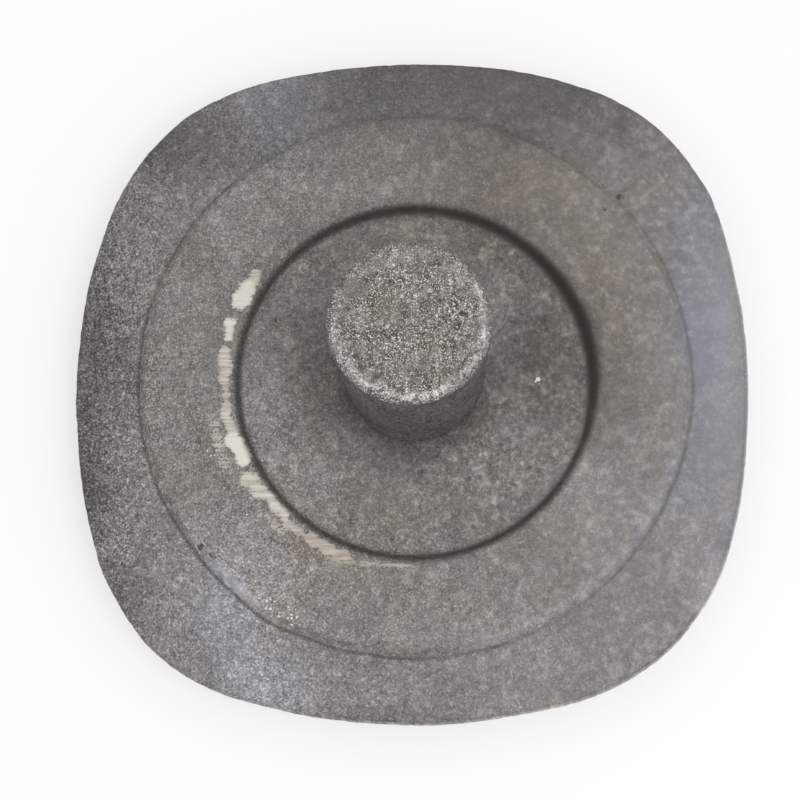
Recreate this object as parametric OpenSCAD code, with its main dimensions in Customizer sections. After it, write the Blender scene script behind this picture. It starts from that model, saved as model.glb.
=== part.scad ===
// Flat slab molcajete: a squircle stone slab with a raised grinding ring,
// a cylindrical tejolote (hand stone) that stands in the ring, and four glued pads.
// Millimetres, +Z up. The origin is on the resting surface, under the slab's centre.

/* [Slab] */
// Width of the slab, side to side
slab_w = 220; // [200:5:260]
// Thickness of the stone outside the ring
slab_t = 16; // [12:1:24]
// Radius of the four bowed sides
side_r = 195; // [170:5:260]
// Radius of the four corners in plan
corner_r = 70; // [55:1:75]
// Roundness of the top edge
top_edge_r = 1.8; // [0.5:0.1:3]
// How far the side leans in, from the top edge to the underside
side_lean = 5; // [2:0.5:8]
// Bevel along the bottom edge
bottom_bevel = 3; // [1:0.5:4]

/* [Grinding ring] */
// Outer radius of the ring at its foot
ring_r = 90.5; // [84:0.5:92]
// How far the ring stands above the slab
ring_h = 2.6; // [1.5:0.1:5]
// How far the ring's outer step leans in
ring_lean = 2.2; // [0.5:0.1:4]
// Radius of the round recess at its lip
recess_r = 59.4; // [50:0.2:70]
// Depth of the recess below the ring
recess_d = 3.4; // [2:0.1:6]
// How far the recess wall leans in
recess_lean = 2.8; // [0.5:0.1:4]

/* [Tejolote] */
// Radius of the tejolote's foot
tejolote_foot_r = 22.6; // [18:0.2:26]
// Radius of the tejolote's head
tejolote_head_r = 23.4; // [18:0.2:26]
// Height of the tejolote
tejolote_h = 78; // [60:1:110]
// Roundness of the head's edge
head_edge_r = 2.2; // [1:0.1:4]
// Roundness of the foot's edge
foot_edge_r = 3; // [1:0.1:5]
// How far behind the slab's centre the tejolote stands
tejolote_back = 2; // [0:0.5:20]

/* [Pads] */
// Radius of each glued pad
pad_r = 9; // [6:0.5:10]
// Thickness of each pad
pad_t = 4.5; // [3:0.5:6]
// Depth of the seat that each pad is glued into
seat_d = 1.5; // [1:0.5:2]
// Distance of each pad from the slab's two centre lines
pad_xy = 60; // [45:1:60]

/* [Hidden] */

$fn = 96;
stone = [0.49, 0.47, 0.45];
worn_stone = [0.55, 0.53, 0.51];
pad_brown = [0.36, 0.25, 0.17];

rest_gap = 0.2;      // between the standing tejolote and the recess floor
seat_gap = 0.2;      // around each pad in its seat
overrun = 1;         // how far a cutter runs past the face it cuts

slab_z = pad_t - seat_d;            // underside of the stone
top_z = slab_z + slab_t;            // top of the slab outside the ring
land_z = top_z + ring_h;            // top of the ring
floor_z = land_z - recess_d;        // floor of the recess

// Plan outline: four bowed side arcs that run smoothly into four corner arcs.
side_off = side_r - slab_w / 2;     // from the slab's centre back to a side arc's centre
corner_c = (sqrt(2 * pow(side_r - corner_r, 2) - pow(side_off, 2)) - side_off) / 2;
side_span = atan2(corner_c, corner_c + side_off);   // a side arc reaches this far each way
outline_steps = 96;
edge_steps = 3;

// The outline's point whose outward normal has this angle, moved inwards by inset.
function folded(angle) = angle - 90 * round(angle / 90);
function in_side(angle, inset) =
    let (n = folded(angle))
    abs(n) <= side_span
        ? [(side_r - inset) * cos(n) - side_off, (side_r - inset) * sin(n)]
        : [corner_c + (corner_r - inset) * cos(n),
           sign(n) * corner_c + (corner_r - inset) * sin(n)];
function turned(p, angle) =
    [p[0] * cos(angle) - p[1] * sin(angle), p[0] * sin(angle) + p[1] * cos(angle)];
function outline_point(angle, inset) =
    turned(in_side(angle, inset), 90 * round(angle / 90));

// Height and inset of each level of the slab's side, from the underside up.
slab_levels = concat(
    [[slab_z, side_lean + bottom_bevel], [slab_z + bottom_bevel, side_lean]],
    [for (i = [0:edge_steps])
        let (a = 90 * i / edge_steps)
        [top_z - top_edge_r * (1 - sin(a)), top_edge_r * (1 - cos(a))]]
);

// A closed solid through the outline at each [height, inset] level.
module outline_loft(levels) {
    last = (len(levels) - 1) * outline_steps;
    polyhedron(
        points = [for (level = levels, i = [0:outline_steps - 1])
            let (p = outline_point(360 * i / outline_steps, level[1]))
            [p[0], p[1], level[0]]],
        faces = concat(
            [[for (i = [0:outline_steps - 1]) i]],
            [[for (i = [outline_steps - 1:-1:0]) last + i]],
            [for (k = [0:len(levels) - 2], i = [0:outline_steps - 1])
                let (a = k * outline_steps, j = (i + 1) % outline_steps)
                [a + j, a + i, a + outline_steps + i, a + outline_steps + j]]
        )
    );
}

// The raised disc that the recess is sunk into.
module ring_step() {
    rotate_extrude()
        polygon([
            [0, top_z - overrun], [ring_r, top_z - overrun], [ring_r, top_z],
            [ring_r - ring_lean, land_z], [0, land_z]
        ]);
}

module recess_cutter() {
    rise = recess_d + overrun;
    rotate_extrude()
        polygon([
            [0, floor_z], [recess_r - recess_lean, floor_z],
            [recess_r - recess_lean + recess_lean * rise / recess_d, floor_z + rise],
            [0, floor_z + rise]
        ]);
}

module at_pad(side_x, side_y) {
    translate([side_x * pad_xy, side_y * pad_xy, 0]) children();
}

module mortar_slab() {
    color(stone)
        difference() {
            union() {
                outline_loft(slab_levels);
                ring_step();
            }
            recess_cutter();
            for (x = [-1, 1], y = [-1, 1])
                at_pad(x, y)
                    translate([0, 0, slab_z - overrun])
                        cylinder(r = pad_r + seat_gap, h = seat_d + overrun);
        }
}

// A turned hand stone with a rounded edge at each end.
module tejolote() {
    foot_z = floor_z + rest_gap;
    head_z = foot_z + tejolote_h;
    color(worn_stone)
        translate([0, tejolote_back, 0])
            rotate_extrude()
                union() {
                    polygon([
                        [0, foot_z], [tejolote_foot_r - foot_edge_r, foot_z],
                        [tejolote_foot_r, foot_z + foot_edge_r],
                        [tejolote_head_r, head_z - head_edge_r],
                        [tejolote_head_r - head_edge_r, head_z], [0, head_z]
                    ]);
                    translate([tejolote_foot_r - foot_edge_r, foot_z + foot_edge_r])
                        circle(foot_edge_r);
                    translate([tejolote_head_r - head_edge_r, head_z - head_edge_r])
                        circle(head_edge_r);
                }
}

module pad(side_x, side_y) {
    color(pad_brown)
        at_pad(side_x, side_y) cylinder(r = pad_r, h = pad_t);
}

mortar_slab();
tejolote();
pad(-1, -1);  // pad_front_left
pad(1, -1);  // pad_front_right
pad(-1, 1);  // pad_back_left
pad(1, 1);  // pad_back_right
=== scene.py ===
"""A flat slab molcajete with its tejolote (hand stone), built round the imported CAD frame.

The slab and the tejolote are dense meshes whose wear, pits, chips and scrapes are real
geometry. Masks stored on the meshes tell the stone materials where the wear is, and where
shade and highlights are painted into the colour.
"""

import math

import bpy
import numpy as np
from mathutils import Matrix, Vector, noise


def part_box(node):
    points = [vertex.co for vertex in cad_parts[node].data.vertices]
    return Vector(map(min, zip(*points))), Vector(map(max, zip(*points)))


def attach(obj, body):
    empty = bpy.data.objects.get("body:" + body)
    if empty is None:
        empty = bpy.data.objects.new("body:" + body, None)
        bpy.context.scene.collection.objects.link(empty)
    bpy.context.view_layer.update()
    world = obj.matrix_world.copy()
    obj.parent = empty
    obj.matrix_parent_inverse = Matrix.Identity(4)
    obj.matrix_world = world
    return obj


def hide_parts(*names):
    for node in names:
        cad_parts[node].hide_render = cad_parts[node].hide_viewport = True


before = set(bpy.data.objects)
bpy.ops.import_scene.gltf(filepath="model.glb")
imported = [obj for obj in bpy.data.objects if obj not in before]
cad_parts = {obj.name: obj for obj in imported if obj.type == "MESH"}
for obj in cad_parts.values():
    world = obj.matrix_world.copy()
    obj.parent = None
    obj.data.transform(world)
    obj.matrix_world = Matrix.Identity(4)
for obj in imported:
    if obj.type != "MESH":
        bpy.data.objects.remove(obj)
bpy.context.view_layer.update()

MM = 0.001

# ---------------------------------------------------------------- sizes read from the frame


def cad_points(node):
    return np.array([v.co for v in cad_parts[node].data.vertices], float)


def radii_at(points, height):
    """The smallest and largest distance from the Z axis of the points at this height."""
    level = points[np.abs(points[:, 2] - height) < 0.05 * MM]
    distance = np.hypot(level[:, 0], level[:, 1])
    return distance.min(), distance.max()


slab_points = cad_points("mortar_slab")
slab_low, slab_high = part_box("mortar_slab")
post_low, post_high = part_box("tejolote")
pad_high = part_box("pad_back_right")[1]

HALF_W = slab_high.x
LAND_Z = slab_high.z
UNDER_Z = slab_low.z
outer_points = slab_points[np.hypot(slab_points[:, 0], slab_points[:, 1]) > 1.02 * HALF_W]
TOP_Z = outer_points[:, 2].max()
inner_points = slab_points[np.hypot(slab_points[:, 0], slab_points[:, 1]) < 0.6 * HALF_W]
FLOOR_Z = inner_points[inner_points[:, 2] > pad_high.z + 5 * MM][:, 2].min()
LIP_R, LAND_R = radii_at(slab_points, LAND_Z)
FLOOR_R = radii_at(slab_points, FLOOR_Z)[1]
# These repeat the CAD's dimensions, which its mesh doesn't give directly.
RING_R = 90.5 * MM
SIDE_R = 195 * MM
CORNER_R = 70 * MM
SIDE_LEAN = 5 * MM
BOTTOM_BEVEL = 3 * MM
TOP_EDGE_R = 1.8 * MM
POST_R = post_high.x
POST_Y = (post_low.y + post_high.y) / 2
POST_FOOT_R = 22.6 * MM

# ---------------------------------------------------------------- noise and small maths


def smooth(value, low, high):
    """0 below low, 1 above high, and a smooth rise between."""
    t = np.clip((value - low) / (high - low), 0, 1)
    return t * t * (3 - 2 * t)


def bump(value, centre, width):
    """1 at centre, falling smoothly to about 0 at twice the width."""
    return np.exp(-(((value - centre) / width) ** 2))


def noise_at(points, size, seed, octaves=1):
    """Noise of about -1 to 1 whose features measure size, at each of the points."""
    shift = Vector((seed * 3.71, seed * 1.93, seed * 7.17))
    result = np.zeros(len(points))
    weight = 1.0
    for octave in range(octaves):
        scale = 2.0 ** octave / size
        values = [noise.noise(Vector(p) * scale + shift) for p in points]
        result += weight * np.array(values)
        weight *= 0.5
    return result * 1.4


def wrapped(angle):
    """An angle in degrees brought to the range 0 to 360."""
    return angle % 360


def gap_from(degrees, centre):
    """How far an angle lies past centre, from -180 to 180 degrees."""
    return (degrees - centre + 180) % 360 - 180


def towards(degrees, centre, low, high):
    """1 in the direction of centre and 0 away from it, by the cosine of the angle between."""
    return smooth(np.cos(np.radians(degrees - centre)), low, high)


def quarter_turn(steps, first=1):
    """The angles of a quarter circle cut into steps, from the given step to the last."""
    return [math.pi / 2 * i / steps for i in range(first, steps + 1)]


def circle_angles(count):
    return np.arange(count) * (2 * math.pi / count)


def loop_at(angles, radius, height):
    """A loop of points at one height. The radius is one number, or a number for each angle."""
    level = np.full(len(angles), height)
    return np.stack([radius * np.cos(angles), radius * np.sin(angles), level], -1)


# ---------------------------------------------------------------- slab outline

SIDE_OFF = SIDE_R - HALF_W
CORNER_C = (math.sqrt(2 * (SIDE_R - CORNER_R) ** 2 - SIDE_OFF ** 2) - SIDE_OFF) / 2


def outline_radius(angle, inset):
    """Distance from the centre to the slab's outline, moved inwards by inset."""
    fold = np.abs((angle + math.pi / 4) % (math.pi / 2) - math.pi / 4)
    c, s = np.cos(fold), np.sin(fold)
    side_r = SIDE_R - inset
    b = SIDE_OFF * c
    on_side = -b + np.sqrt(b * b - SIDE_OFF ** 2 + side_r ** 2)
    corner_r = CORNER_R - inset
    b = CORNER_C * (c + s)
    on_corner = b + np.sqrt(np.maximum(b * b - 2 * CORNER_C ** 2 + corner_r ** 2, 0))
    reach = math.hypot(CORNER_C + SIDE_OFF, CORNER_C)
    tangent = math.atan2(
        CORNER_C * side_r / reach, (CORNER_C + SIDE_OFF) * side_r / reach - SIDE_OFF
    )
    return np.where(fold <= tangent, on_side, on_corner)


# Where the hand-cut outline strays from the drawn one: degrees, width in degrees, millimetres.
OUTLINE_DENTS = [
    (228, 13, 0.7),
    (218, 5, -0.4),
    (144, 12, -0.6),
    (72, 10, 0.6),
    (178, 52, 1.65),
    (262, 50, 0.6),
    (5, 55, -1.2),
    (325, 20, -0.45),
    (80, 50, -0.5),
]


OUTLINE_GROWTH = 0.25 * MM


def outline_stray(angle):
    """How far the hand-cut outline strays outwards from the drawn one."""
    degrees = np.degrees(angle)
    stray = np.full(len(angle), OUTLINE_GROWTH)
    for centre, width, depth in OUTLINE_DENTS:
        away = gap_from(degrees, centre)
        stray += depth * MM * np.exp(-((away / width) ** 2))
    around = np.stack([np.cos(angle), np.sin(angle), np.zeros(len(angle))], -1)
    stray += 0.22 * MM * noise_at(around, 0.16, 5, 2)
    stray += 0.10 * MM * noise_at(around, 0.022, 6, 2)
    return stray


def ring_stray(angle):
    """How far the ring's foot strays outwards from its drawn circle."""
    bulge = 1.0 * MM * bump(wrapped(np.degrees(angle)), 239, 8)
    return bulge - 0.35 * MM * np.cos(angle) + 0.75 * MM * np.sin(angle)


# ---------------------------------------------------------------- ring meshes


def ring_mesh(name, loops):
    """A closed mesh through loops of points, from the top centre round to the bottom centre.

    A loop with half as many points as its neighbour is joined to it two to one.
    """
    verts = []
    faces = []
    starts = []
    for loop in loops:
        starts.append(len(verts))
        verts.extend(loop)
    for k in range(len(loops) - 1):
        a, b = starts[k], starts[k + 1]
        n, m = len(loops[k]), len(loops[k + 1])
        if n == 1:
            faces += [(a, b + i, b + (i + 1) % m) for i in range(m)]
        elif m == 1:
            faces += [(a + i, b, a + (i + 1) % n) for i in range(n)]
        elif n == m:
            faces += [(a + i, b + i, b + (i + 1) % n, a + (i + 1) % n) for i in range(n)]
        elif m == 2 * n:
            for i in range(n):
                j = (i + 1) % n
                p, q, r = b + 2 * i, b + 2 * i + 1, b + (2 * i + 2) % m
                faces += [(a + i, p, q), (a + i, q, a + j), (a + j, q, r)]
        else:
            for i in range(m):
                j = (i + 1) % m
                p, q, r = a + 2 * i, a + 2 * i + 1, a + (2 * i + 2) % n
                faces += [(p, b + i, q), (q, b + i, b + j), (q, b + j, r)]
    mesh = bpy.data.meshes.new(name)
    mesh.from_pydata([tuple(v) for v in verts], [], faces)
    mesh.validate()
    mesh.polygons.foreach_set("use_smooth", [True] * len(mesh.polygons))
    return mesh


def split_loops(points, loops):
    """The points cut up again into loops of the same lengths."""
    return np.split(points, np.cumsum([len(loop) for loop in loops])[:-1])


def add_mask(mesh, name, values):
    """Stores a number at each point, for the material to read."""
    layer = mesh.attributes.new(name, "FLOAT", "POINT")
    layer.data.foreach_set("value", np.asarray(values, np.float32))


def add_tint(mesh, factors):
    """Stores a factor for red, green and blue at each point."""
    layer = mesh.attributes.new("tint", "FLOAT_VECTOR", "POINT")
    layer.data.foreach_set("vector", np.asarray(factors, np.float32).ravel())


def spaced(start, end, step):
    """Values from start to end, about step apart, with both ends."""
    count = max(2, int(round(abs(end - start) / step)) + 1)
    return np.linspace(start, end, count)


# ---------------------------------------------------------------- slab shape

# Points in the loops of the outer part, the recess's floor, and its middle and the underside.
OUTER_COUNT = 640
INNER_COUNT = 320
UNDER_COUNT = 160
BAND_LOOPS = 26
GROOVE_DEPTH = 0.35 * MM
SCRAPE_DEPTH = 0.22 * MM
PIT_DEPTH = 0.5 * MM
CHIP_DEPTH = 0.3 * MM
RIM_FALL = 0.9 * MM


def top_profile(radius):
    """Height of the slab's top at this distance from the centre, before any wear."""
    lip = 0.9 * MM
    ring_wall = smooth(radius, LAND_R - lip, RING_R + 0.3 * MM)
    recess_wall = smooth(radius, FLOOR_R - 1.0 * MM, LIP_R + 1.2 * MM)
    height = FLOOR_Z + (LAND_Z - FLOOR_Z) * recess_wall
    return height - (LAND_Z - TOP_Z) * ring_wall


def edge_levels():
    """Inset and height of each level from the top edge round to the underside."""
    levels = [
        (TOP_EDGE_R * (1 - math.sin(turn)), TOP_Z - TOP_EDGE_R * (1 - math.cos(turn)))
        for turn in quarter_turn(5)
    ]
    side_top = TOP_Z - TOP_EDGE_R
    side_low = UNDER_Z + BOTTOM_BEVEL
    for height in spaced(side_top, side_low, 0.9 * MM)[1:]:
        levels.append((SIDE_LEAN * (side_top - height) / (side_top - side_low), height))
    for i in range(1, 4):
        share = i / 3
        levels.append((SIDE_LEAN + BOTTOM_BEVEL * share, side_low - BOTTOM_BEVEL * share))
    return levels


def slab_loops():
    """The slab's loops, each an array of x, y, z, from the recess's centre to the underside's."""
    loops = [np.array([[0, 0, FLOOR_Z]])]

    def add_circle(radius, count, share=0):
        a = circle_angles(count)
        loops.append(loop_at(a, radius + share * ring_stray(a), top_profile(radius)))

    for radius in (2 * MM, 5 * MM, 8.5 * MM, 12.5 * MM, 17 * MM):
        add_circle(radius, UNDER_COUNT)
    for radius in spaced(21 * MM, FLOOR_R - 2.2 * MM, 0.85 * MM):
        add_circle(radius, INNER_COUNT)
    for radius in spaced(FLOOR_R - 1.6 * MM, LIP_R + 2.0 * MM, 0.42 * MM):
        add_circle(radius, OUTER_COUNT)
    step_start, step_end = LAND_R - 1.2 * MM, RING_R + 1.4 * MM
    for radius in spaced(LIP_R + 2.7 * MM, step_start - 0.6 * MM, 0.78 * MM):
        add_circle(radius, OUTER_COUNT, (radius - LIP_R) / (step_start - LIP_R))
    for radius in spaced(step_start, step_end, 0.38 * MM):
        add_circle(radius, OUTER_COUNT, 1)
    a = circle_angles(OUTER_COUNT)
    stray = outline_stray(a)
    rim_r = outline_radius(a, TOP_EDGE_R) + stray
    start = step_end + ring_stray(a)
    for share in np.linspace(0, 1, BAND_LOOPS + 1)[1:]:
        loops.append(loop_at(a, start + (rim_r - start) * share, TOP_Z))
    for inset, height in edge_levels():
        loops.append(loop_at(a, outline_radius(a, inset) + stray, height))
    last_inset = SIDE_LEAN + BOTTOM_BEVEL
    for count, shares in ((INNER_COUNT, (0.975, 0.93)), (UNDER_COUNT, (0.85, 0.7, 0.5, 0.25))):
        a = circle_angles(count)
        for share in shares:
            loops.append(loop_at(a, outline_radius(a, last_inset) * share, UNDER_Z))
    loops.append(np.array([[0, 0, UNDER_Z]]))
    return loops


# Fresh scrapes beside the recess's lip. Each line is a stroke from x, y to x, y with its half
# width at both ends, all in millimetres, then how solid and how white it is.
SCRAPES = [
    (-57.4, 26.4, -55.0, 31.0, 3.2, 2.8, 1.0, 0.85),
    (-55.0, 31.0, -52.9, 35.0, 2.8, 2.0, 0.95, 0.5),
    (-60.9, 18.8, -61.0, 14.0, 1.9, 1.6, 1.0, 0.85),
    (-62.5, 9.0, -62.3, 0.0, 2.3, 2.2, 0.95, 0.5),
    (-61.7, 0.0, -61.5, -11.0, 1.6, 1.5, 0.84, 0.4),
    (-61.2, -12.0, -58.9, -19.5, 1.8, 2.8, 0.95, 0.5),
    (-58.9, -19.5, -55.5, -26.2, 3.0, 2.4, 1.0, 0.9),
    (-64.6, -16.5, -61.8, -28.0, 2.2, 2.6, 0.58, 0.5),
    (-53.4, -32.6, -48.6, -38.0, 3.2, 2.6, 0.84, 0.62),
    (-47.6, -38.6, -41.4, -45.4, 2.4, 1.5, 0.95, 0.62),
    (-41.0, -47.4, -34.6, -51.6, 1.4, 1.7, 0.9, 0.42),
    (-34.0, -52.0, -22.0, -57.9, 2.2, 1.9, 0.9, 0.36),
    (-28.5, -58.2, -19.0, -61.6, 1.1, 0.9, 0.66, 0.2),
    (-22.0, -60.0, -1.0, -60.9, 1.6, 0.8, 0.68, 0.26),
    (-50.0, -43.0, -42.0, -50.0, 2.4, 2.0, 0.4, 0.6),
]


def scrape_masks(p):
    """Where the stone is freshly scraped, beside the recess's lip, and how white it is there."""
    mask = np.zeros(len(p))
    white = np.zeros(len(p))
    place = p[:, :2] / MM
    ragged = 0.8 * noise_at(p, 3.4 * MM, 21, 2)
    for x0, y0, x1, y1, half_start, half_end, solid, whiteness in SCRAPES:
        start = np.array([x0, y0])
        run = np.array([x1, y1]) - start
        along = np.clip((place - start) @ run / (run @ run), 0, 1)
        away = np.linalg.norm(place - start - along[:, None] * run, axis=1)
        half = half_start + (half_end - half_start) * along + ragged
        stroke = solid * (1 - smooth(away, half - 1.6, half + 1.3))
        mask = np.maximum(mask, stroke)
        white = np.maximum(white, stroke * whiteness)
    return mask, white


# Single pits: place x, y, radius and depth, all in millimetres.
PITS = [
    (-69.0, -54.6, 1.5, 0.5),
    (-64.8, -57.4, 1.3, 0.5),
    (68.0, 62.0, 1.7, 0.5),
    (63.0, 57.0, 1.2, 0.42),
    (-46.0, 20.8, 1.1, 0.5),
    (-105.0, -37.5, 2.2, 0.4),
    (-104.0, 16.0, 1.2, 0.42),
]


def pit_mask(p):
    """How deep each point lies in a pit, as a share of the deepest pit."""
    mask = np.zeros(len(p))
    for x, y, radius, depth in PITS:
        away = np.hypot(p[:, 0] - x * MM, p[:, 1] - y * MM)
        mask = np.maximum(mask, bump(away, 0, radius * MM) * depth / (PIT_DEPTH / MM))
    return mask


# Soft patches on the slab's top: real stains, with painted shade (the darker back and left rim,
# the hand stone's shadow on the recess floor and round its foot) and painted bluish reflections
# (the stripes at the left and at the right edge, the back left and the front left). Each line is
# its place x, y and its half sizes in millimetres, how much lighter it is in stops, and how much
# cooler (above 0) or browner (below 0).
STAINS_SHADE_AND_SHEEN = [
    (12, 112, 64, 26, -0.92, 0.0),
    (-80, 82, 22, 16, -0.75, 0.0),
    (-112, 6, 14, 50, -1.0, 0.0),
    (44, 84, 42, 16, -0.34, 0.0),
    (62, 97, 24, 10, -0.24, 0.0),
    (-45, 78, 20, 11, -0.26, 0.0),
    (-20, 92, 15, 11, -0.3, 0.0),
    (12, 97, 18, 9, 0.0, 0.12),
    (-98, 64, 10, 22, -0.28, 0.0),
    (-95, 2, 7, 16, -0.26, 0.0),
    (-107, -40, 10, 16, -0.74, 0.0),
    (-46, 108, 10, 6, 0.5, 0.0),
    (-95, -70, 9, 12, -0.56, 0.0),
    (-96, 22, 6, 14, -0.2, 0.0),
    (-84, 82, 10, 8, -0.24, 0.0),
    (36, 85, 9, 8, -0.22, 0.0),
    (10, 77, 30, 12, -0.12, 0.0),
    (50, 8, 20, 32, -0.7, -0.06),
    (38, 11, 10, 18, -0.3, 0.0),
    (22, 60, 12, 18, -0.28, 0.0),
    (57, 42, 16, 12, 0.13, 0.0),
    (30, 44, 26, 16, -0.42, -0.08),
    (-16, 44, 24, 14, -0.22, -0.04),
    (-28, 2, 12, 30, -0.4, 0.0),
    (-37, 8, 8, 20, -0.26, 0.0),
    (-34, -32, 12, 12, 0.24, 0.0),
    (-6, -28, 12, 6, -0.24, 0.0),
    (-48, 25, 6, 11, -0.34, 0.0),
    (51, -20, 7, 14, 0.3, 0.0),
    (56, -40, 12, 12, 0.28, 0.0),
    (37, 12, 7, 9, -0.26, 0.0),
    (-50, -8, 9, 36, 0.16, 0.12),
    (10, -44, 40, 12, -0.14, -0.04),
    (-52, -62, 26, 18, 0.42, 0.0),
    (-62, -62, 9, 12, 0.05, 0.16),
    (-36, -55, 7, 5, -0.26, -0.16),
    (-54, -54, 14, 20, 0.0, 0.1),
    (-58, -82, 16, 13, 0.42, 0.16),
    (-46, -99, 17, 11, 0.6, 0.26),
    (18, -84, 26, 7, 0.06, 0.13),
    (30, -107, 26, 5, 0.22, 0.0),
    (98, -74, 8, 14, 0.8, 0.0),
    (75.5, -40, 1.7, 2.2, 0.3, 0.0),
    (72.5, -46, 2.6, 2.2, 0.44, 0.0),
    (67, -51.5, 1.9, 1.5, 0.26, 0.0),
    (55, -60.5, 2.2, 1.5, 0.44, 0.0),
    (51.5, -58.5, 1.6, 1.4, 0.3, 0.0),
    (70.5, -92.5, 2.2, 1.3, 0.44, 0.0),
    (64.4, 17.2, 1.2, 2.4, 0.5, 0.0),
    (74.2, 13.6, 1.3, 1.3, 0.4, 0.0),
    (67.6, 8.6, 1.2, 2.0, 0.24, 0.0),
    (-46, 98, 12, 10, 0.12, 0.3),
    (-47, 80, 7, 10, 0.0, 0.16),
    (94.5, 18, 11, 50, 0.4, 0.34),
    (106, 2, 9, 58, 0.36, 0.06),
    (92, -44, 13, 24, 0.2, 0.1),
    (70, 66, 15, 13, 0.0, -0.1),
    (72, -52, 28, 28, 0.12, 0.04),
    (34, -86, 30, 12, 0.14, 0.0),
    (2, -110, 26, 7, -0.3, 0.0),
    (32, 64, 26, 18, -0.12, -0.14),
    (66, 20, 14, 34, 0.06, -0.08),
    (-73, 43, 8, 7, -0.3, -0.08),
    (-60, 50, 14, 20, 0.14, 0.05),
    (-42, 70, 9, 7, 0.2, 0.06),
    (66.5, 75.5, 3, 3.6, 0.4, 0.0),
    (70, 87.5, 3.6, 4.4, -0.35, -0.1),
    (64, 94.5, 1.6, 2.8, 0.45, 0.0),
]

# Clusters of bright grains: place x, y, radius in millimetres, and how thick they lie. Above
# about 1.1 they run together into one solid speck.
SPARKS = [
    (-37.3, -77.4, 2.3, 1.0),
    (-41.0, -76.3, 1.5, 0.9),
    (-44.6, -75.0, 2.2, 0.8),
    (-48.6, -71.4, 2.6, 0.6),
    (-40.0, -71.0, 1.6, 0.8),
    (-39.4, -74.0, 1.4, 0.8),
    (40.4, 0.4, 1.25, 2.0),
    (-64.0, -22.0, 4.0, 0.5),
    (-48.0, -44.0, 4.0, 0.2),
]


def soft_spot(p, x, y, half_x, half_y):
    """1 at a place given in millimetres, falling softly to 0 past its half sizes."""
    away = ((p[:, 0] / MM - x) / half_x) ** 2 + ((p[:, 1] / MM - y) / half_y) ** 2
    return np.exp(-1.1 * away ** 1.4)


# Directions round the slab, in degrees from the right towards the back.
WEDGE_AT = 230
FRONT_AT = 262
FRONT_RIGHT_AT = 314
LIT_RIM_AT = 322


def lit_wedge_mask(ring_radius, degrees):
    """The smooth wedge inside the ring's foot at the front left, which carries a painted bluish
    highlight.
    """
    width = (1.6 + 2.6 * bump(degrees, 229, 5)) * MM
    inside = RING_R - 0.4 * MM - ring_radius
    reach = (1 - smooth(inside, 0.5 * width, 1.2 * width)) * smooth(inside, 0, 0.6 * MM)
    return reach * bump(degrees, WEDGE_AT, 8)


def coarseness(p, wedge):
    """How coarse the stone's grain shows: sharp at the left, worn smooth at the right."""
    across = smooth(p[:, 0] + 0.25 * p[:, 1], 112 * MM, -100 * MM)
    edge = smooth(p[:, 0], -78 * MM, -104 * MM)
    coarse = 0.08 + 0.53 * across + 0.46 * edge + 0.08 * noise_at(p, 26 * MM, 51, 2)
    return coarse * (1 - 0.7 * wedge)


def mottling(p, radius):
    """How strongly the stone is mottled: most in the recess, least at the smooth right edge."""
    recess = (1 - smooth(radius, FLOOR_R - 2 * MM, FLOOR_R)) * (0.2 + 0.5 * (p[:, 0] > 0))
    right_edge = soft_spot(p, 104, 0, 15, 66)
    return 0.76 + recess - 0.56 * right_edge - 0.24 * soft_spot(p, 10, 104, 60, 14)


def slab_tint(p, rim, ring_radius, degrees, wedge):
    """The factor for red, green and blue at each point of the slab."""
    tone = np.zeros(len(p))
    cool = np.zeros(len(p))
    # Real stains together with painted shade and painted reflections, from the table above.
    for x, y, half_x, half_y, lighter, cooler in STAINS_SHADE_AND_SHEEN:
        spot = soft_spot(p, x, y, half_x, half_y)
        tone += lighter * spot
        cool += cooler * spot
    cool += np.where(ring_radius > RING_R, 0.09, -0.02)
    # Painted bluish highlight on the wedge and on the ring's outer step at the front right; the step
    # is painted darker at the front.
    step = bump(ring_radius, RING_R - 1.8 * MM, 1.3 * MM)
    front_right = towards(degrees, FRONT_RIGHT_AT, 0.78, 0.9)
    front_middle = towards(degrees, FRONT_AT, 0.9, 0.96)
    tone += 0.5 * wedge + 0.42 * step * front_right - 0.24 * step * front_middle
    cool += 0.2 * wedge + 0.22 * step * front_right
    lit = towards(degrees, LIT_RIM_AT, 0.2, 0.6)
    tone += 0.8 * lit * (1 - smooth(rim, 0.1 * MM, 1.2 * MM))
    foot_gap = np.hypot(p[:, 0], p[:, 1] - POST_Y) - POST_FOOT_R
    front = 0.5 + 0.5 * np.cos(np.radians(degrees - FRONT_AT))
    shadow = np.exp(-((np.maximum(foot_gap, 0) / (5.5 * MM)) ** 1.4))
    tone -= (0.35 + 0.95 * front) * shadow
    tone += 0.09 * noise_at(p, 9 * MM, 52, 2)
    factor = 2.0 ** tone
    green = factor * 2 ** (-0.14 * np.maximum(cool, 0))
    return np.stack([factor * 2 ** (-cool / 2), green, factor * 2 ** (cool / 2)], -1)


def recess_wall_shade(radius, degrees):
    """The painted shade in the band round the recess: broad at the right and back, narrow at the
    front.
    """
    deep = towards(degrees, 60, 0.1, 0.9)
    right = bump(gap_from(degrees, 14), 0, 24)
    middle = (FLOOR_R + LIP_R) / 2
    inner = (0.9 + 1.5 * deep) * MM
    outer = (1.35 + 2.1 * right) * MM
    width = np.where(radius < middle, inner, outer)
    return (0.86 + 0.14 * deep) * np.exp(-(np.abs((radius - middle) / width) ** 2.6))


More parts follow.
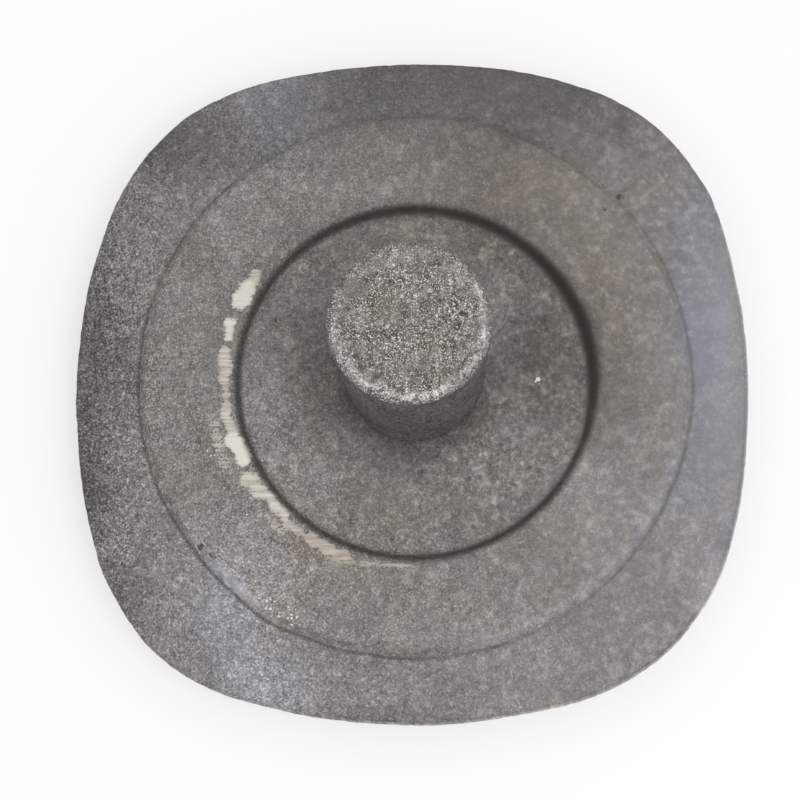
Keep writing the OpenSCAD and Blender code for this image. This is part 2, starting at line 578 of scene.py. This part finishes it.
def slab():
    """The slab's mesh: its loops pushed in by the wear, with the masks for its material."""
    loops = slab_loops()
    p = np.concatenate(loops)
    radius = np.hypot(p[:, 0], p[:, 1])
    degrees = wrapped(np.degrees(np.arctan2(p[:, 1], p[:, 0])))
    in_recess = (radius < LIP_R) & (p[:, 2] > FLOOR_Z - 1 * MM)
    on_top = (p[:, 2] > TOP_Z - 0.2 * MM) | in_recess
    above = smooth(p[:, 2], UNDER_Z + 0.5 * MM, UNDER_Z + 3 * MM)

    waver = 0.25 * MM * noise_at(p, 14 * MM, 1, 2)
    ring_radius = radius - ring_stray(np.radians(degrees))
    groove = bump(ring_radius + waver, RING_R + 0.3 * MM, 0.5 * MM)
    facing = np.cos(np.radians(degrees - 205)) + 0.5 * noise_at(p, 22 * MM, 2)
    groove_strength = 0.28 + 0.72 * smooth(facing, -0.1, 0.7)
    groove_strength += 0.3 * towards(degrees, 8, 0.8, 0.95)
    groove_strength += 0.25 * towards(degrees, 312, 0.8, 0.95)
    groove *= groove_strength
    scrape, white = scrape_masks(p)
    scrape *= p[:, 2] > FLOOR_Z + 1.5 * MM
    pits = pit_mask(p) * on_top
    swell = noise_at(p, 34 * MM, 3, 2)
    grit = noise_at(p, 3.2 * MM, 4, 3)
    chips = smooth(noise_at(p, 5 * MM, 8, 2), 0.45, 0.9)
    around = circle_angles(OUTER_COUNT)
    stray = np.interp(degrees, np.degrees(around), outline_stray(around), period=360)
    rim = outline_radius(np.radians(degrees), 0) + stray - radius
    near_rim = (1 - smooth(rim, 0.5 * MM, 3.5 * MM)) * above

    down = 0.10 * MM * swell * above
    down += 0.07 * MM * grit
    down += GROOVE_DEPTH * groove
    down += SCRAPE_DEPTH * scrape * (1 + 0.5 * noise_at(p, 1.6 * MM, 23))
    down += PIT_DEPTH * pits
    down += CHIP_DEPTH * chips * near_rim
    down += RIM_FALL * smooth(radius, RING_R + 6 * MM, outline_radius(np.radians(degrees), 0))
    down = np.where(in_recess, np.maximum(down, 0), down)
    p[:, 2] -= np.where(on_top, down, 0)
    side = (~on_top) & (p[:, 2] > UNDER_Z + 0.2 * MM)
    pull = 0.12 * MM * swell + 0.05 * MM * grit + 0.1 * MM * chips * near_rim
    for axis, turn in ((0, np.cos), (1, np.sin)):
        p[:, axis] -= np.where(side, pull * turn(np.radians(degrees)), 0)

    mesh = ring_mesh("slab", split_loops(p, loops))
    wedge = lit_wedge_mask(ring_radius, degrees)
    sparks = np.zeros(len(p))
    for x, y, size, thick in SPARKS:
        sparks = np.maximum(sparks, thick * soft_spot(p, x, y, size, size) * on_top)
    add_mask(mesh, "groove", groove)
    add_mask(mesh, "scrape", scrape)
    add_mask(mesh, "white", white)
    add_mask(mesh, "pits", np.clip(pits, 0, 1))
    add_mask(mesh, "wall", recess_wall_shade(radius, degrees) * on_top)
    add_mask(mesh, "coarse", coarseness(p, wedge))
    add_mask(mesh, "mottle", mottling(p, radius))
    add_mask(mesh, "sparks", sparks)
    add_tint(mesh, slab_tint(p, rim, ring_radius, degrees, wedge))
    return mesh


# ---------------------------------------------------------------- tejolote shape

POST_COUNT = 360
POST_EDGE_R = 2.2 * MM
FOOT_EDGE_R = 3 * MM


def post_profile():
    """Radius and height of each level of the tejolote, from its head's centre to its foot's."""
    head_z, foot_z = post_high.z, post_low.z
    levels = [(r, head_z) for r in spaced(0.8 * MM, POST_R - POST_EDGE_R, 0.36 * MM)]
    for turn in quarter_turn(7):
        radius = POST_R - POST_EDGE_R * (1 - math.sin(turn))
        levels.append((radius, head_z - POST_EDGE_R * (1 - math.cos(turn))))
    side_top, side_low = head_z - POST_EDGE_R, foot_z + FOOT_EDGE_R
    for height in spaced(side_top, side_low, 0.62 * MM)[1:]:
        share = (side_top - height) / (side_top - side_low)
        levels.append((POST_R + (POST_FOOT_R - POST_R) * share, height))
    for turn in quarter_turn(5):
        radius = POST_FOOT_R - FOOT_EDGE_R * (1 - math.cos(turn))
        levels.append((radius, side_low - FOOT_EDGE_R * math.sin(turn)))
    inner = POST_FOOT_R - FOOT_EDGE_R
    levels += [(inner * share, foot_z) for share in (0.95, 0.9, 0.8, 0.65, 0.5, 0.3, 0.12)]
    return levels


def tejolote():
    """The hand stone's mesh, pushed in by its wear, with the masks for its material."""
    head_z, foot_z = post_high.z, post_low.z
    a = circle_angles(POST_COUNT)
    loops = [np.array([[0, 0, head_z]])]
    for radius, height in post_profile():
        loops.append(loop_at(a, radius, height))
    loops.append(np.array([[0, 0, foot_z]]))
    p = np.concatenate(loops)
    radius = np.hypot(p[:, 0], p[:, 1])
    angle = np.arctan2(p[:, 1], p[:, 0])
    degrees = wrapped(np.degrees(angle))

    head = smooth(p[:, 2], head_z - 3.2 * MM, head_z - 1.2 * MM)
    foot = 1 - smooth(p[:, 2], foot_z + 1.0 * MM, foot_z + 4.0 * MM)
    swell = noise_at(p, 18 * MM, 31, 2)
    lumps = noise_at(p, 4.2 * MM, 32, 2)
    grit = noise_at(p, 1.5 * MM, 33, 2)
    dull = soft_spot(p, -15.8, 9.6, 5.0, 3.6) * head
    rough = head * (1 - 0.9 * dull)
    # Painted highlight on the head's worn rim: bright towards the front right, faint at the back.
    lit_rim_r = POST_R - 2.1 * MM + 0.5 * MM * noise_at(p, 6 * MM, 34)
    rim = bump(radius, lit_rim_r, 1.0 * MM) * head
    rim *= 0.05 + 0.95 * towards(degrees, 292, -0.7, 0.4)
    rim *= np.clip(0.75 + 0.5 * noise_at(p, 5 * MM, 36, 2), 0, 1)
    shoulder = smooth(radius, POST_R - 1.9 * MM, POST_R - 0.3 * MM) * head
    bright = 0.6 * soft_spot(p, -4, 19, 6, 2.6) + 0.5 * soft_spot(p, 15, 14, 3, 5)
    bright += 0.4 * soft_spot(p, -1, 8, 4, 3)
    mossy = soft_spot(p, -7, 5, 4, 5) + soft_spot(p, 7, -5, 5, 3)
    mossy += 0.8 * soft_spot(p, 9, -14, 5, 3) + 0.5 * soft_spot(p, -8, -4, 4, 3)

    is_flat = radius < POST_R - POST_EDGE_R + 0.1 * MM
    down = 0.20 * MM + 0.16 * MM * lumps * head + 0.17 * MM * grit * rough
    p[:, 2] -= np.where(is_flat & (p[:, 2] > head_z - 1 * MM), np.maximum(down, 0), 0)
    pull = 0.10 * MM + 0.16 * MM * swell * (1 - foot) + 0.12 * MM * lumps
    pull += 0.09 * MM * grit * (0.5 + rough)
    for axis, turn in ((0, np.cos), (1, np.sin)):
        p[:, axis] -= np.where(is_flat, 0, pull * turn(angle))
    p[:, 2] -= np.where(is_flat, 0, np.maximum(down, 0) * head)

    p[:, 1] += POST_Y
    mesh = ring_mesh("tejolote", split_loops(p, loops))
    add_mask(mesh, "head", head)
    add_mask(mesh, "dull", dull)
    add_mask(mesh, "rim", rim)
    add_mask(mesh, "shoulder", shoulder)
    add_mask(mesh, "bright", bright * head)
    add_mask(mesh, "mossy", mossy * head)
    return mesh


# ---------------------------------------------------------------- pads

PAD_COUNT = 72
PAD_EDGE_R = 1.1 * MM
PAD_DISH = 0.5 * MM
PAD_BEVEL = 0.3 * MM


def pad(node):
    """A round rubber pad with a rounded foot and a shallow dish in the middle of its tread."""
    low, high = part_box(node)
    centre = (low + high) / 2
    outer = (high.x - low.x) / 2
    profile = [(0.0, low.z + PAD_DISH), (0.45 * outer, low.z + PAD_DISH)]
    profile += [(0.52 * outer, low.z + 0.1 * MM), (0.56 * outer, low.z)]
    for turn in quarter_turn(6, 0):
        radius = outer - PAD_EDGE_R * (1 - math.sin(turn))
        profile.append((radius, low.z + PAD_EDGE_R * (1 - math.cos(turn))))
    profile += [(outer, high.z - PAD_BEVEL), (outer - PAD_BEVEL, high.z), (0.0, high.z)]
    a = circle_angles(PAD_COUNT)
    loops = []
    for radius, height in reversed(profile):
        if radius == 0:
            loops.append(np.array([[centre.x, centre.y, height]]))
        else:
            loops.append(loop_at(a, radius, height) + [centre.x, centre.y, 0])
    return ring_mesh(node, loops)


# ---------------------------------------------------------------- material helpers


class Nodes:
    """Short ways to add and join a material's nodes."""

    def __init__(self, name):
        self.material = bpy.data.materials.new(name)
        self.material.use_nodes = True
        self.tree = self.material.node_tree
        self.shader = self.tree.nodes["Principled BSDF"]
        self.place = self.add("ShaderNodeTexCoord").outputs["Object"]

    def add(self, kind, **settings):
        node = self.tree.nodes.new(kind)
        for key, value in settings.items():
            setattr(node, key, value)
        return node

    def feed(self, socket, value):
        if isinstance(value, bpy.types.NodeSocket):
            self.tree.links.new(value, socket)
        else:
            socket.default_value = value

    def noise(self, size, detail=2.0, rough=0.5, seed=0.0, stretch=None):
        """Noise whose features measure size, in metres."""
        spot = self.place
        if stretch is not None:
            mapping = self.add("ShaderNodeMapping")
            mapping.inputs["Scale"].default_value = stretch
            self.feed(mapping.inputs["Vector"], spot)
            spot = mapping.outputs["Vector"]
        node = self.add("ShaderNodeTexNoise", noise_dimensions="4D")
        self.feed(node.inputs["Vector"], spot)
        node.inputs["W"].default_value = seed
        node.inputs["Scale"].default_value = 1.0 / size
        node.inputs["Detail"].default_value = detail
        node.inputs["Roughness"].default_value = rough
        return node.outputs["Fac"]

    def dots(self, size, share, ragged):
        """Separate dots in a share of the cells that measure size, seen from above."""
        node = self.add("ShaderNodeTexVoronoi", voronoi_dimensions="2D", feature="F1")
        self.feed(node.inputs["Vector"], self.place)
        node.inputs["Scale"].default_value = 1.0 / size
        split = self.add("ShaderNodeSeparateColor")
        self.feed(split.inputs["Color"], node.outputs["Color"])
        chosen = self.math("LESS_THAN", split.outputs["Red"], share)
        reach = self.math("MULTIPLY_ADD", split.outputs["Green"], 0.22, 0.2)
        near = self.math("SUBTRACT", reach, node.outputs["Distance"])
        near = self.math("MULTIPLY_ADD", ragged, 0.8, near)
        return self.math("MULTIPLY", chosen, self.remap(near, 0.0, 0.14))

    def centred(self, value):
        return self.math("SUBTRACT", value, 0.5)

    def scaled(self, value, amount):
        return self.math("MULTIPLY", value, amount)

    def scale(self, colour, amount):
        node = self.add("ShaderNodeVectorMath", operation="SCALE")
        self.feed(node.inputs[0], colour)
        self.feed(node.inputs["Scale"], amount)
        return node.outputs["Vector"]

    def mask(self, name):
        return self.add("ShaderNodeAttribute", attribute_name=name).outputs["Fac"]

    def tinted(self, colour):
        node = self.add("ShaderNodeVectorMath", operation="MULTIPLY")
        self.feed(node.inputs[0], colour)
        tint = self.add("ShaderNodeAttribute", attribute_name="tint")
        self.feed(node.inputs[1], tint.outputs["Vector"])
        return node.outputs["Vector"]

    def remap(self, value, low, high, to_low=0.0, to_high=1.0):
        node = self.add("ShaderNodeMapRange", interpolation_type="SMOOTHSTEP")
        self.feed(node.inputs["Value"], value)
        node.inputs["From Min"].default_value = low
        node.inputs["From Max"].default_value = high
        node.inputs["To Min"].default_value = to_low
        node.inputs["To Max"].default_value = to_high
        return node.outputs["Result"]

    def math(self, operation, a, b=0.0, c=0.0):
        node = self.add("ShaderNodeMath", operation=operation)
        self.feed(node.inputs[0], a)
        self.feed(node.inputs[1], b)
        self.feed(node.inputs[2], c)
        return node.outputs["Value"]

    def mix(self, amount, a, b):
        node = self.add("ShaderNodeMix", data_type="RGBA")
        self.feed(node.inputs[0], amount)
        self.feed(node.inputs[6], a)
        self.feed(node.inputs[7], b)
        return node.outputs[2]

    def relief(self, height, strength, distance):
        """Gives the surface a fine relief, distance metres deep."""
        node = self.add("ShaderNodeBump")
        node.inputs["Strength"].default_value = strength
        node.inputs["Distance"].default_value = distance
        self.feed(node.inputs["Height"], height)
        self.feed(self.shader.inputs["Normal"], node.outputs["Normal"])


def grey(value):
    return (value, value, value, 1.0)


def rgb(red, green, blue):
    """A colour given as it looks on screen, from 0 to 255."""
    return tuple(((c / 255 + 0.055) / 1.055) ** 2.4 for c in (red, green, blue)) + (1.0,)


# ---------------------------------------------------------------- materials


def slab_stone():
    """Grey-brown stone: grain, stains with painted shade and reflections, bright grains, scrapes,
    groove, pits and painted shade round the recess.
    """
    n = Nodes("slab_stone")
    fine = n.noise(0.6 * MM, 2.0, 0.6, 1.0)
    medium = n.noise(1.5 * MM, 2.0, 0.6, 2.0)
    pebble = n.noise(3.3 * MM, 1.0, 0.5, 3.0)
    blotch = n.noise(7 * MM, 2.0, 0.5, 4.0)
    warm = n.noise(16 * MM, 2.0, 0.5, 5.0)
    coarse = n.mask("coarse")

    mottle = n.mask("mottle")
    colour = n.mix(n.remap(warm, 0.36, 0.66), rgb(121, 117, 115), rgb(124, 118, 113))
    tone = n.math("MULTIPLY_ADD", n.centred(blotch), 0.2, 0.93)
    tone = n.math("MULTIPLY_ADD", n.centred(pebble), n.scaled(mottle, 0.6), tone)
    lighter = n.math("MULTIPLY", n.remap(pebble, 0.5, 0.82), mottle)
    tone = n.math("MULTIPLY_ADD", lighter, 0.42, tone)
    tone = n.math("MULTIPLY_ADD", n.centred(medium), n.scaled(mottle, 0.9), tone)
    glints = n.math("MULTIPLY", n.remap(medium, 0.55, 0.76), mottle)
    tone = n.math("MULTIPLY_ADD", glints, 0.42, tone)
    tone = n.math("MULTIPLY_ADD", n.centred(fine), n.scaled(coarse, 4.6), tone)
    sparkle = n.math("MULTIPLY", n.remap(fine, 0.55, 0.74), coarse)
    tone = n.math("MULTIPLY_ADD", sparkle, 1.5, tone)
    tone = n.math("MAXIMUM", tone, 0.2)
    colour = n.tinted(n.scale(colour, tone))

    sparks = n.mask("sparks")
    dots = n.dots(1.35 * MM, n.scaled(sparks, 0.66), n.centred(fine))
    dots = n.math("MAXIMUM", dots, n.remap(sparks, 1.1, 1.7))
    colour = n.mix(n.scaled(dots, 0.82), colour, rgb(232, 228, 222))
    scrape = n.mask("scrape")
    streak = n.noise(1.6 * MM, 2.0, 0.6, 9.0, (0.16, 2.0, 1.0))
    ragged = n.math("MULTIPLY_ADD", n.centred(streak), 1.3, scrape)
    ragged = n.math("MULTIPLY_ADD", n.centred(fine), 1.5, ragged)
    whiter = n.math("MULTIPLY_ADD", n.centred(streak), 1.3, n.mask("white"))
    fresh = n.mix(n.remap(whiter, 0.05, 0.95), rgb(158, 148, 139), rgb(222, 216, 207))
    colour = n.mix(n.remap(ragged, 0.4, 0.58, 0.0, 0.92), colour, fresh)
    colour = n.mix(n.scaled(n.mask("groove"), 0.72), colour, rgb(54, 51, 49))
    pitted = n.math("MULTIPLY_ADD", n.centred(medium), 2.6, n.mask("pits"))
    colour = n.mix(n.remap(pitted, 0.56, 0.78, 0.0, 0.85), colour, rgb(48, 45, 43))
    # Painted shade in the band round the recess's wall.
    colour = n.mix(n.scaled(n.mask("wall"), 0.93), colour, rgb(44, 39, 35))
    n.feed(n.shader.inputs["Base Color"], colour)

    n.shader.inputs["Specular IOR Level"].default_value = 0.4
    n.feed(n.shader.inputs["Roughness"], n.remap(medium, 0.35, 0.7, 0.62, 0.5))
    height = n.math("MULTIPLY", n.math("ADD", fine, medium), coarse)
    n.relief(height, 0.5, 0.35 * MM)
    return n.material


def post_stone():
    """The same stone, rough and speckled on the head and darker down the side, that darkness partly
    painted shade.
    """
    n = Nodes("post_stone")
    fine = n.noise(0.46 * MM, 2.0, 0.7, 11.0)
    grit = n.noise(1.3 * MM, 2.0, 0.6, 14.0)
    medium = n.noise(3.0 * MM, 2.0, 0.6, 12.0)
    broad = n.noise(8 * MM, 1.0, 0.5, 17.0)
    tall = (1.0, 1.0, 0.6)
    side_grit = n.noise(1.0 * MM, 2.0, 0.7, 16.0, tall)
    patch = n.noise(9 * MM, 2.0, 0.5, 15.0, tall)
    head = n.mask("head")
    # The side's darker colours are partly painted shade.
    side = n.mix(n.remap(patch, 0.36, 0.64), rgb(82, 78, 76), rgb(94, 92, 89))
    side_tone = n.math("MULTIPLY_ADD", n.centred(side_grit), 4.2, 0.98)
    side_tone = n.math("MULTIPLY_ADD", n.centred(grit), 1.5, side_tone)
    side = n.scale(side, n.math("MAXIMUM", side_tone, 0.3))

    face = n.mix(n.remap(medium, 0.34, 0.66), rgb(92, 85, 82), rgb(140, 133, 129))
    face = n.mix(n.scaled(n.mask("mossy"), 0.5), face, rgb(108, 103, 84))
    face = n.mix(n.scaled(n.mask("bright"), 0.5), face, rgb(176, 172, 168))
    face = n.mix(n.scaled(n.mask("shoulder"), 0.6), face, rgb(84, 82, 79))
    # A painted highlight on the head's worn rim, from the rim mask.
    worn = n.math("MULTIPLY", n.mask("rim"), n.remap(grit, 0.34, 0.6, 0.1, 0.95))
    face = n.mix(worn, face, rgb(214, 212, 210))
    speck = n.math("MULTIPLY_ADD", n.centred(grit), 0.25, fine)
    sharp = n.remap(broad, 0.36, 0.6, 0.55, 1.0)
    dark = n.math("MULTIPLY", n.remap(speck, 0.5, 0.36), n.scaled(sharp, 0.85))
    face = n.mix(dark, face, rgb(44, 40, 38))
    light = n.math("MULTIPLY", n.remap(speck, 0.53, 0.66), n.scaled(sharp, 0.95))
    face = n.mix(light, face, rgb(240, 235, 231))
    dull = n.math("MULTIPLY_ADD", n.centred(grit), 1.2, n.mask("dull"))
    face = n.mix(n.remap(dull, 0.4, 0.75, 0.0, 0.66), face, rgb(112, 107, 104))
    n.feed(n.shader.inputs["Base Color"], n.mix(head, side, face))
    n.shader.inputs["Specular IOR Level"].default_value = 0.12
    n.feed(n.shader.inputs["Roughness"], n.remap(fine, 0.35, 0.7, 0.65, 0.4))
    n.relief(fine, 0.6, 0.5 * MM)
    return n.material


def pad_rubber():
    """Scuffed brown rubber."""
    n = Nodes("pad_rubber")
    grain = n.noise(0.6 * MM, 2.0, 0.6, 41.0)
    scuff = n.noise(5 * MM, 3.0, 0.6, 42.0)
    colour = n.mix(n.remap(scuff, 0.4, 0.7), rgb(60, 46, 36), rgb(78, 62, 50))
    n.feed(n.shader.inputs["Base Color"], colour)
    n.feed(n.shader.inputs["Roughness"], n.remap(scuff, 0.3, 0.7, 0.6, 0.8))
    n.relief(grain, 0.3, 0.15 * MM)
    return n.material


# ---------------------------------------------------------------- pieces


def piece(name, mesh, material, body, node):
    """Adds a visible piece that moves with body and stands for the CAD's node."""
    mesh.materials.append(material)
    mesh.name = name
    thing = bpy.data.objects.new(name, mesh)
    bpy.context.scene.collection.objects.link(thing)
    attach(thing, body)
    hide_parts(node)


piece("slab", slab(), slab_stone(), "mortar", "mortar_slab")
piece("hand_stone", tejolote(), post_stone(), "tejolote", "tejolote")
rubber = pad_rubber()
for side in ("front_left", "front_right", "back_left", "back_right"):
    piece(side + "_pad", pad("pad_" + side), rubber, "mortar", "pad_" + side)

# ---------------------------------------------------------------- floor, light and camera


def floor():
    """A pale plain floor, with a faint glow that keeps it nearly white."""
    mesh = bpy.data.meshes.new("floor")
    reach = 3.0
    corners = [(-reach, -reach, 0), (reach, -reach, 0), (reach, reach, 0), (-reach, reach, 0)]
    mesh.from_pydata(corners, [], [(0, 1, 2, 3)])
    n = Nodes("floor")
    n.shader.inputs["Base Color"].default_value = grey(0.44)
    n.shader.inputs["Emission Color"].default_value = grey(1.0)
    n.shader.inputs["Emission Strength"].default_value = 0.5
    n.shader.inputs["Roughness"].default_value = 0.9
    mesh.materials.append(n.material)
    thing = bpy.data.objects.new("floor", mesh)
    bpy.context.scene.collection.objects.link(thing)


def soft_light(name, place, side, watts):
    """A square soft light at place, aimed at the slab's centre."""
    data = bpy.data.lights.new(name, "AREA")
    data.shape = "SQUARE"
    data.size = side
    data.energy = watts
    thing = bpy.data.objects.new(name, data)
    thing.location = place
    aim = Vector((0, 0, TOP_Z)) - Vector(place)
    thing.rotation_euler = aim.to_track_quat("-Z", "Y").to_euler()
    bpy.context.scene.collection.objects.link(thing)


def lighting():
    """An even white sky and one soft light from the front right."""
    world = bpy.data.worlds.new("studio")
    world.use_nodes = True
    world.node_tree.nodes["Background"].inputs["Color"].default_value = grey(1.0)
    world.node_tree.nodes["Background"].inputs["Strength"].default_value = 0.88
    bpy.context.scene.world = world
    soft_light("key", (0.30, -0.25, 0.9), 0.5, 2.8)


def camera():
    """Looks down from in front of the slab, a little to its right, with a turn that squares it up."""
    data = bpy.data.cameras.new("camera")
    data.lens = 72
    data.sensor_width = 36
    thing = bpy.data.objects.new("camera", data)
    tilt, swing, roll = math.radians(10.27), math.radians(9.68), math.radians(-9.63)
    distance, aside, ahead = 524.3 * MM, -4.84 * MM, -6.48 * MM
    turn = (
        Matrix.Rotation(swing, 3, "Z") @ Matrix.Rotation(tilt, 3, "X")
        @ Matrix.Rotation(roll, 3, "Z")
    )
    place = Vector((0, 0, TOP_Z)) + turn @ Vector((aside, ahead, distance))
    thing.matrix_world = Matrix.Translation(place) @ turn.to_4x4()
    bpy.context.scene.collection.objects.link(thing)
    bpy.context.scene.camera = thing


floor()
lighting()
camera()
bpy.context.scene.view_settings.view_transform = "Standard"
